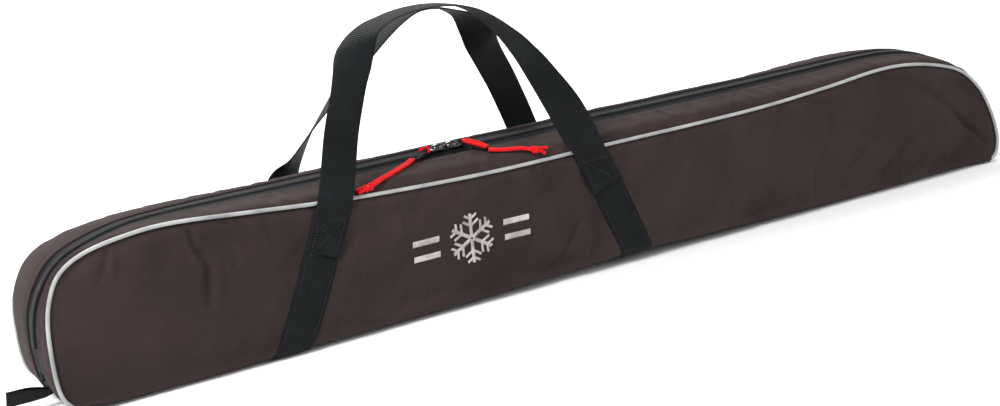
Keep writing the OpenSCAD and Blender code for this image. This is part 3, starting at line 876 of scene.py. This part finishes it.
# Across the top from the front seam to the back seam: y in mm, and height as a share of the way
# from the seam up to the zip
TOP_PROFILE = [
    (-58, 0), (-56.6, 0.16), (-54.6, 0.36), (-52, 0.5), (-46, 0.6), (-36, 0.73), (-28.4, 0.83), (-20, 0.93),
    (-14, 1), (-10, 1), (-3, 1.06), (4, 1.1), (14, 1.04), (28, 0.88), (42, 0.68), (52, 0.5),
    (54.6, 0.36), (56.6, 0.16), (58, 0),
]
_PROFILE = spline(TOP_PROFILE, 8)


def top_points(ys):
    """Points of the top for each station and each y, with their outward normals."""
    y = np.asarray(ys, float)
    rise = np.interp(y / MM, _PROFILE[:, 0], _PROFILE[:, 1])
    seam_z = LINE.seam[:, 1:] - LINE.rear_drop[:, None] * smooth(y / HALF_D)
    x = LINE.seam[:, :1] + (LINE.zip - LINE.seam)[:, :1] * rise
    z = seam_z + (LINE.zip[:, 1:] - seam_z) * rise
    reach = np.where(y < ZIP_Y, HALF_D + ZIP_Y, HALF_D - ZIP_Y)
    pulled = LINE.sway[:, None] * (1 - np.clip(np.abs(y - ZIP_Y) / reach, 0, 1) ** 1.5)
    points = np.stack([x, y + pulled, z], -1)
    along = np.gradient(points, axis=0)
    across = np.gradient(points, axis=1) * (1 if y[-1] > y[0] else -1)
    return points, unit(np.cross(along, across))


def gusset_wrinkles(ys, side):
    """Short cross puckers of a gusset strip, deepest between the seam and the tape."""
    y = np.abs(np.asarray(ys))
    inner = TAPE_EDGE + side * ZIP_Y
    across = np.clip((HALF_D - y) / (HALF_D - inner), 0, 1)
    body = np.sin(math.pi * np.clip(across, 0, 1)) ** 0.8
    depth = np.zeros((LINE.count, len(y)))
    place = LINE.along[0] + 0.03
    dice = random.Random(11 + side)
    while place < LINE.along[-1] - 0.03:
        width = dice.uniform(0.0032, 0.0075)
        lean = dice.uniform(-0.012, 0.012)
        reach = dice.uniform(0.2, 0.8)
        centre = place + lean * (across - 0.4)
        size = dice.uniform(0.5, 1.9) * (1 if side < 0 else 0.55) * MM
        depth += size * bell((LINE.along[:, None] - centre) / width) * bell((across - reach) / 0.55) * body
        depth -= 0.6 * size * bell((LINE.along[:, None] - centre - 1.6 * width) / width) * body
        place += dice.uniform(0.016, 0.05)
    slow = np.sin(LINE.along / 0.034 + side) * np.sin(LINE.along / 0.091)
    depth += 0.9 * MM * slow[:, None] * body
    return depth


def gusset_columns(side):
    """Y of each column from the seam to the tape, closer together by the seam."""
    inner = ZIP_Y + side * (TAPE_EDGE - 1.5 * MM)
    outer = side * HALF_D
    share = np.concatenate([np.linspace(0, 0.2, 9)[:-1], np.linspace(0.2, 1, 16 if side < 0 else 24)])
    return outer + (inner - outer) * share


def gusset_surface(side):
    """The columns of a gusset strip, its puckered points and their normals."""
    ys = gusset_columns(side)
    points, normals = top_points(ys)
    lift = 1.6 * MM * smooth(np.abs(ys - side * HALF_D) / 0.012)
    return ys, points + normals * (lift - gusset_wrinkles(ys, side))[..., None], normals


def strip_uv(points):
    steps = np.linalg.norm(np.diff(points, axis=1), axis=2)
    across = np.concatenate([np.zeros((len(points), 1)), np.cumsum(steps, axis=1)], 1)
    return np.stack([np.broadcast_to(LINE.along[:, None], across.shape), across], -1)


def strip_object(name, points, side, material, thick, rows=slice(None), wear=None):
    """A strip of cloth over the top, with its thickness inwards."""
    uv = strip_uv(points)[rows]
    faces, corners = grid_parts(points[rows], uv)
    if side > 0:
        faces, corners = flipped(faces, corners)
    made = mesh_object(name, points[rows], faces, corners, material)
    if wear is not None:
        add_wear(made, np.broadcast_to(wear, points.shape[:2]))
    return thicken(made, thick)


def add_gussets():
    for side, word in SIDES:
        ys, points, normals = gusset_surface(side)
        points[:, -1] -= normals[:, -1] * 0.5 * MM
        share = np.linspace(0, 1, len(ys))
        wear = 0.7 * bell((share - 1) / 0.05) + 0.4 * bell(share / 0.06)
        made = strip_object(f"{word}_gusset_cloth", points, side, GUSSET_PAINTED_PALER, 0.9 * MM, wear=wear)
        bend_with_flap(made)
        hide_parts(f"{word}_gusset", f"{word}_mouth_flap")


# First and last station of the mouth
MOUTH_FROM, MOUTH_TO = np.where(np.abs(LINE.zip[:, 0]) <= MOUTH_X)[0][[0, -1]]


def add_tapes():
    """Twill tapes: two in the mouth and the closed pairs at the ends."""
    parts = (("left", slice(0, MOUTH_FROM + 1)), ("mouth", slice(MOUTH_FROM, MOUTH_TO + 1)),
             ("right", slice(MOUTH_TO, LINE.count)))
    for end, rows in parts:
        for side, word in SIDES:
            ys = np.linspace(ZIP_Y + side * (TAPE_EDGE + 2 * MM), ZIP_Y + side * HALF_GAP, 12)
            points, normals = top_points(ys)
            points = points + normals * 0.1 * MM
            name = f"{word}_tape" if end == "mouth" else f"{end}_{word}_tape"
            made = strip_object(name, points, side, TAPE, 0.8 * MM, rows)
            if end == "mouth":
                bend_with_flap(made)
                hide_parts(f"{word}_zip_tape")
            else:
                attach(made, "bag")
                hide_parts(f"{end}_zip_tapes")


def coil_line(side, rows):
    """A zip coil: a nylon helix along one side of the zip line."""
    middle = HALF_GAP + COIL_R
    points, normals = top_points([ZIP_Y + side * middle, ZIP_Y + side * (middle + MM)])
    centre = even((points[:, 0] + normals[:, 0] * 1.1 * MM)[rows], 0.00018)
    pitch = 1.55 * MM
    along = lengths(centre)
    heading = unit(np.gradient(centre, axis=0))
    across = unit(np.array((0, 1.0, 0)) - heading * heading[:, 1:2])
    up = unit(np.cross(across, heading))
    phase = 2 * math.pi * along / pitch * side
    wide, tall = COIL_R - 0.3 * MM, 1.15 * MM
    return centre + across * (wide * np.cos(phase))[:, None] + up * (tall * np.sin(phase))[:, None]


def add_coils():
    """Helical coils in the mouth, and the closed chains down to the feet."""
    foot = 14
    for side, word in SIDES:
        made = tube(f"{word}_coil", coil_line(side, slice(MOUTH_FROM, MOUTH_TO + 1)), 0.38 * MM, COIL, 5)
        bend_with_flap(made)
        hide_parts(f"{word}_zip_coil")
    closed = (("left", slice(foot, MOUTH_FROM + 1)), ("right", slice(MOUTH_TO, LINE.count - foot)))
    for end, rows in closed:
        grids = [tube_grid(coil_line(side, rows), 0.38 * MM, 5) for side in (-1, 1)]
        made = joined(f"{end}_chain", grids, COIL)
        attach(made, "bag")
        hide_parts(f"{end}_zip_chain")


add_gussets()
add_tapes()
add_coils()


# ---------- stitching ----------

def stitch_grids(line, normals, stitch=2.6 * MM, gap=0.9 * MM, radius=0.28 * MM):
    """Little raised stitches along a line on a surface."""
    along = lengths(line)
    count = int(along[-1] / (stitch + gap))
    grids = []
    for i in range(count):
        at = i * (stitch + gap) + np.linspace(0, stitch, 5)
        middle = np.stack([np.interp(at, along, line[:, k]) for k in range(3)], 1)
        normal = np.stack([np.interp(at, along, normals[:, k]) for k in range(3)], 1)
        rise = np.array([-0.15, 0.2, 0.3, 0.2, -0.15]) * MM
        middle = middle + normal * rise[:, None]
        grids.append(tube_grid(middle, np.array([0.5, 1, 1, 1, 0.5]) * radius, 5))
    return grids


def add_topstitching():
    """Two rows of stitches that hold each gusset strip to its zip tape."""
    for side, word in SIDES:
        ys, points, normals = gusset_surface(side)
        grids = []
        for away in (2.0, 7.0):
            target = ZIP_Y + side * (TAPE_EDGE - 1.5 * MM + away * MM)
            order = np.argsort(ys)
            line = np.stack([[np.interp(target, ys[order], points[i, order, k]) for k in range(3)]
                             for i in range(8, LINE.count - 8)])
            grids += stitch_grids(line, normals[8:-8, -2])
        made = joined(f"{word}_topstitching", grids, STITCH_THREAD)
        bend_with_flap(made)


add_topstitching()


# ---------- piping, binding and tabs ----------

def seam_line(side):
    """The piped seam on one side, with half of each crossing under the zip's foot."""
    seam = np.stack([LINE.seam[:, 0], np.full(LINE.count, side * (HALF_D + 0.9 * MM)),
                     LINE.seam_height(side)], 1)
    middle = np.gradient(seam, axis=0)
    out = unit(np.stack([-middle[:, 2], np.zeros(LINE.count), middle[:, 0]], 1))
    seam = seam + out * 0.9 * MM
    foot_y = np.array([ZIP_Y, (ZIP_Y + side * HALF_D) / 2, side * (HALF_D - 7 * MM),
                       side * (HALF_D - 2 * MM)])
    left, right = [np.stack([np.array(x) * MM, foot_y, np.array(z) * MM], 1)
                   for x, z in (((-598, -597, -596, -595.6), (7.5, 7, 6.5, 6.5)),
                                ((597, 597, 597, 596.6), (2.3, 2.3, 2.4, 2.6)))]
    line = np.concatenate([left, seam[2:-2], right[::-1]])
    return even(soften(even(line, 0.002), 2), 0.0022)


def add_piping():
    for side, word in SIDES:
        made = tube(f"{word}_piping_cord", seam_line(side), PIPING_R, PIPING, 14)
        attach(made, "bag")
        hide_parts(f"{word}_piping")


def add_bindings():
    """Tape over the raw seam edges inside, just below the seams."""
    rows = np.where(np.abs(LINE.seam[:, 0]) < 0.45)[0]
    rows = rows[LINE.seam[rows, 1] > 0.1]
    for side, word in SIDES:
        column = slice(1, 9) if side < 0 else slice(-2, -10, -1)
        points = PANEL[rows][:, column].copy()
        points[..., 1] -= side * 3.4 * MM
        line = soften(points.mean(1), 8)
        across = unit(soften(points[:, -1] - points[:, 0], 8))
        made = joined(f"{word}_binding", [strap_grid(line, across, 0.013, 0.0009)], BINDING)
        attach(made, "bag")
        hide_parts(f"{word}_seam_binding")


def add_tabs():
    """A folded webbing tab at each foot of the zip, pinched at its root."""
    for end, word in ENDS:
        run = np.array([(598, 0, 17), (605, 0, 15.5), (611, 0, 15.2), (618, 0, 16), (628, 0, 16.8),
                        (644, 0, 17)])
        line = even(spline(run * MM, 6), 0.0012)
        line[:, 0] *= end
        line[:, 1] = ZIP_Y
        share = lengths(line) / lengths(line)[-1]
        width = (9.5 + 8.5 * smooth(share * 1.5)) * MM
        lean = np.radians(-38 + 12 * share) * -end
        across = np.stack([0 * share, np.sin(lean), np.cos(lean)], 1)
        grids = []
        for face in (-1, 1):
            shift = face * (0.9 + 0.5 * np.sin(math.pi * share)) * MM
            leaf = line + np.cross(np.broadcast_to((1.0, 0, 0), line.shape), across) * shift[:, None]
            grids.append(strap_grid(leaf, across, width, 1.5 * MM))
        end_line = line[-1] + np.outer(np.linspace(-8.6, 8.6, 9) * MM, across[-1])
        grids.append(tube_grid(end_line, 1.75 * MM, 10))
        made = joined(f"{word}_tab", grids, WEBBING)
        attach(made, "bag")
        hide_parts(f"{word}_grab_tab")


add_piping()
add_bindings()
add_tabs()


# ---------- webbing bands and handles ----------

def band_grid(foot):
    """A band sewn down the front, under the base and up the back."""
    cols = PANEL.shape[1]
    widths = np.linspace(-0.5, 0.5, 15) * WEB_W / math.cos(math.atan(BAND_LEAN / FOOT_Z))
    rows = []
    for c in np.arange(0, cols - 0.5, 0.5):
        low, high, part = int(c), min(int(c) + 1, cols - 1), c % 1
        column = PANEL[:, low] * (1 - part) + PANEL[:, high] * part
        column = column[np.abs(column[:, 0]) < 0.45]
        z = np.interp(HANDLE_X + foot * FOOT_X, column[:, 0], column[:, 2])
        middle = HANDLE_X + foot * (FOOT_X + BAND_LEAN * (1 - min(z, FOOT_Z) / FOOT_Z))
        xs = middle + widths
        if z > FOOT_Z + 2 * MM:
            continue
        rows.append(np.stack([xs, np.interp(xs, column[:, 0], column[:, 1]),
                              np.interp(xs, column[:, 0], column[:, 2])], 1))
    return np.array(rows)


def add_bands():
    for foot, word in ENDS:
        inner = band_grid(foot)
        normal = unit(np.cross(np.gradient(inner, axis=1), np.gradient(inner, axis=0)))
        middle = inner.mean((0, 1))
        if np.sum(normal[:, 7] * (inner[:, 7] - middle)) < 0:
            normal = -normal
        edge = np.sqrt(np.clip(1 - np.abs(np.linspace(-1, 1, 15)) ** 10, 0, 1))[None, :, None]
        outer = inner + normal * (0.35 + 1.4 * edge) * MM
        inner = inner + normal * 0.1 * MM
        loop = np.concatenate([outer, inner[:, ::-1]], 1)
        along = lengths(outer[:, 7])
        u = np.concatenate([np.linspace(-1, 1, 15), np.linspace(1, -1, 15), [-1]]) * WEB_W / 2
        uv = np.stack(np.broadcast_arrays(u[None], along[:, None]), -1)
        made = joined(f"{word}_webbing_band", [(loop, uv)], WEBBING)
        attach(made, "bag")
        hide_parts(f"{word}_band")


# Route of the handles from their left feet to their right feet, from the handles' middle, in mm:
# the front one's x, the rear one's x, y, z. The rear one stands narrower and is turned to the back.
HANDLE_ROUTE = [
    (-153, -153, -63, 131), (-149, -149, -64.5, 145), (-142, -139, -64, 172), (-130, -121, -55.5, 206),
    (-114, -102, -43, 236), (-101, -88, -31, 258), (-90, -78, -24, 277), (-74, -62, -20, 295),
    (-52, -42, -20, 305), (-25, -20, -20, 310), (8, -1, -20, 310), (38, 15, -20, 304),
    (61, 34, -20.5, 292), (83, 56, -26, 271), (99, 74, -37.5, 246), (112, 91, -50, 218),
    (125, 111, -59, 190), (138, 132, -64, 160), (147, 145, -64.5, 144), (153, 153, -63, 131),
]
# Turn of the webbing at each of those points, in degrees
HANDLE_TWISTS = {
    "front": [0, 0, 0, 0, 0, -8, -45, -80, -90, -90,
              -90, -90, -92, -98, -108, -122, -142, -166, -180, -180],
    "rear": [0, 0, 0, 0, 0, -8, -45, -80, -90, -90,
             -90, -90, -90, -88, -82, -74, -64, -46, -10, 0],
}
FOOT_LENGTH = 36
REAR_DROP = 7


def add_handles():
    """Two free webbing loops, tacked down at their feet."""
    for word, drop, turn in (("front", 0, 1), ("rear", REAR_DROP, -1)):
        route = np.array([(row[0 if turn > 0 else 1], *row[2:]) for row in HANDLE_ROUTE], float)
        route[:, 2] -= drop * smooth((route[:, 2] - 200) / 80)
        feet = {end: [] for end in (-1, 1)}
        for end in (-1, 1):
            for share in (1, 0.66, 0.33):
                z = FOOT_Z / MM - FOOT_LENGTH * share
                x = end * (FOOT_X + BAND_LEAN * (1 - z * MM / FOOT_Z)) / MM
                wall = wall_point(HANDLE_X + turn * x * MM, z * MM, -turn, 3.0 * MM)
                feet[end].append((x, -abs(wall[1]) / MM, z))
        route = np.concatenate([feet[-1], route, feet[1][::-1]])
        steps = 14
        line = spline(route, steps) * MM
        turns = [0] * 3 + HANDLE_TWISTS[word] + [HANDLE_TWISTS[word][-1]] * 3
        twist = np.interp(np.arange(len(line)) / steps, np.arange(len(turns)), turns)
        twist = np.radians(soften(twist, 14))
        heading = unit(np.gradient(line, axis=0))
        a = unit(np.cross(np.array((0, 1.0, 0)), heading))
        b = np.cross(heading, a)
        across = np.cos(twist)[:, None] * a + np.sin(twist)[:, None] * b
        line[:, :2] *= turn
        across[:, :2] *= turn
        line[:, 0] += HANDLE_X
        points, uv = strap_grid(line, across, WEB_W, WEB_T, 0.5 * MM)
        made = joined(f"{word}_carry_handle", [(points, uv)], WEBBING)
        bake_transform(made)
        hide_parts(f"{word}_handle")


def add_bartacks():
    """Stitched boxes with a cross that hold the handles' feet, and rows along the bands' edges."""
    for side, word in SIDES:
        grids = []
        for foot in (-1, 1):
            def on_band(across, z):
                middle = HANDLE_X + foot * (FOOT_X + BAND_LEAN * (1 - z / FOOT_Z))
                proud = 4.0 if z > FOOT_Z - FOOT_LENGTH * MM else 1.85
                return wall_point(middle + across, z, side, proud * MM)

            half, top, low = 15 * MM, FOOT_Z - 5 * MM, FOOT_Z - (FOOT_LENGTH - 3) * MM
            rows = [[(-half, top), (half, top), (half, low), (-half, low), (-half, top), (half, low)],
                    [(-half, low), (half, top)]]
            rows += [[(e * 16.5 * MM, low - 4 * MM), (e * 16.5 * MM, 14 * MM)] for e in (-1, 1)]
            for k in (0, 1.6, 3.2):
                rows.append([(-half, top + k * MM - 1.6 * MM), (half, top + k * MM - 1.6 * MM)])
            for row in rows:
                path = even(np.array(row), 0.003)
                line = np.array([on_band(across, z) for across, z in path])
                normals = np.broadcast_to(np.array((0, float(side), 0)), line.shape)
                grids += stitch_grids(line, normals, 2.4 * MM, 0.7 * MM, 0.33 * MM)
        made = joined(f"{word}_box_stitching", grids, BLACK_THREAD)
        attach(made, "bag")
        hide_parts(f"{word}_bartacks")


add_bands()
add_handles()
add_bartacks()


# ---------- embroidered snowflake ----------

def satin(centre, angle, long, wide):
    """Rows of thread laid across a bar of the emblem, leaning a little."""
    pitch = 0.55 * MM
    direction = np.array((math.cos(angle), math.sin(angle)))
    cross = np.array((-math.sin(angle), math.cos(angle)))
    grids = []
    for at in np.arange(-long / 2, long / 2 + pitch / 2, pitch):
        ragged = wide / 2 + rng.uniform(-0.12, 0.12) * MM
        share = np.linspace(-1, 1, 7)
        flat = np.array(centre) + direction * at + np.outer(share, cross * ragged + direction * 0.35 * MM)
        rise = (0.25 + 0.6 * np.sqrt(np.clip(1 - share ** 4, 0, 1))) * MM
        line = np.array([wall_point(HANDLE_X + p[0], FLAKE_Z + p[1], -1, r) for p, r in zip(flat, rise)])
        grids.append(tube_grid(line, 0.3 * MM, 5))
    return grids


def add_emblem():
    grids = []
    half_h = 26 * MM
    for k in range(6):
        angle = math.radians(30 + 60 * k)
        direction = np.array((math.cos(angle), math.sin(angle)))
        grids += satin(direction * half_h * 0.53, angle, half_h * 0.94, 3.6 * MM)
        for share, size in ((0.5, 10), (0.78, 7.5)):
            for turn in (-1, 1):
                slant = angle + turn * math.radians(58)
                tip = np.array((math.cos(slant), math.sin(slant)))
                start = direction * half_h * share
                grids += satin(start + tip * (size / 2 + 0.6) * MM, slant, size * MM, 2.4 * MM)
    for side in (-1, 1):
        for z in (-8, 8):
            grids += satin(np.array((side * 54, z)) * MM, 0.0, 30 * MM, 6 * MM)
    made = joined("snowflake_embroidery", grids, EMBROIDERY)
    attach(made, "bag")
    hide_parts("emblem")


add_emblem()


# ---------- sliders ----------

def slider_ring(middle, half_x, half_y, z, power):
    """One rounded ring of a slider at a height."""
    turn = np.linspace(0, 2 * math.pi, 40, endpoint=False)
    size = (np.abs(np.cos(turn)) ** power + np.abs(np.sin(turn)) ** power) ** (-1 / power)
    return np.stack([middle + half_x * size * np.cos(turn), ZIP_Y + half_y * size * np.sin(turn),
                     np.full(len(turn), z)], 1)


def add_sliders():
    """Each slider: a rounded plate astride the coils, with a glossy dome on it."""
    for i, word in enumerate(("left", "right")):
        plate = [slider_ring(SLIDER_XS[i], 10 * MM * k, 6.5 * MM * k, z * MM, 4)
                 for k, z in ((0.94, 160.2), (1, 160.6), (1, 161.8), (0.96, 162.2), (0.1, 162.3))]
        middle = SLIDER_XS[i] + (3 if i == 0 else -3) * MM
        dome = [slider_ring(middle, 7.6 * MM * math.cos(t), 6 * MM * math.cos(t),
                            (161.9 + 5.2 * math.sin(t)) * MM, 2.3) for t in np.linspace(0, 1.52, 14)]
        grids = []
        for rings in (plate, dome):
            rings = np.array(rings[::-1])
            grids.append((rings, np.zeros((len(rings), rings.shape[1] + 1, 2))))
        made = joined(f"{word}_slider_body", grids, SLIDER)
        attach(made, f"{word}_slider")
        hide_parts(f"{word}_slider")


add_sliders()


# ---------- CAD pieces that stay ----------

def dress(node, material):
    """Gives a CAD piece its finish."""
    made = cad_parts[node]
    made.data.materials.clear()
    made.data.materials.append(material)


for word in ("left", "right"):
    dress(f"{word}_pull", PULL)
    dress(f"{word}_zip_stop", STOP)
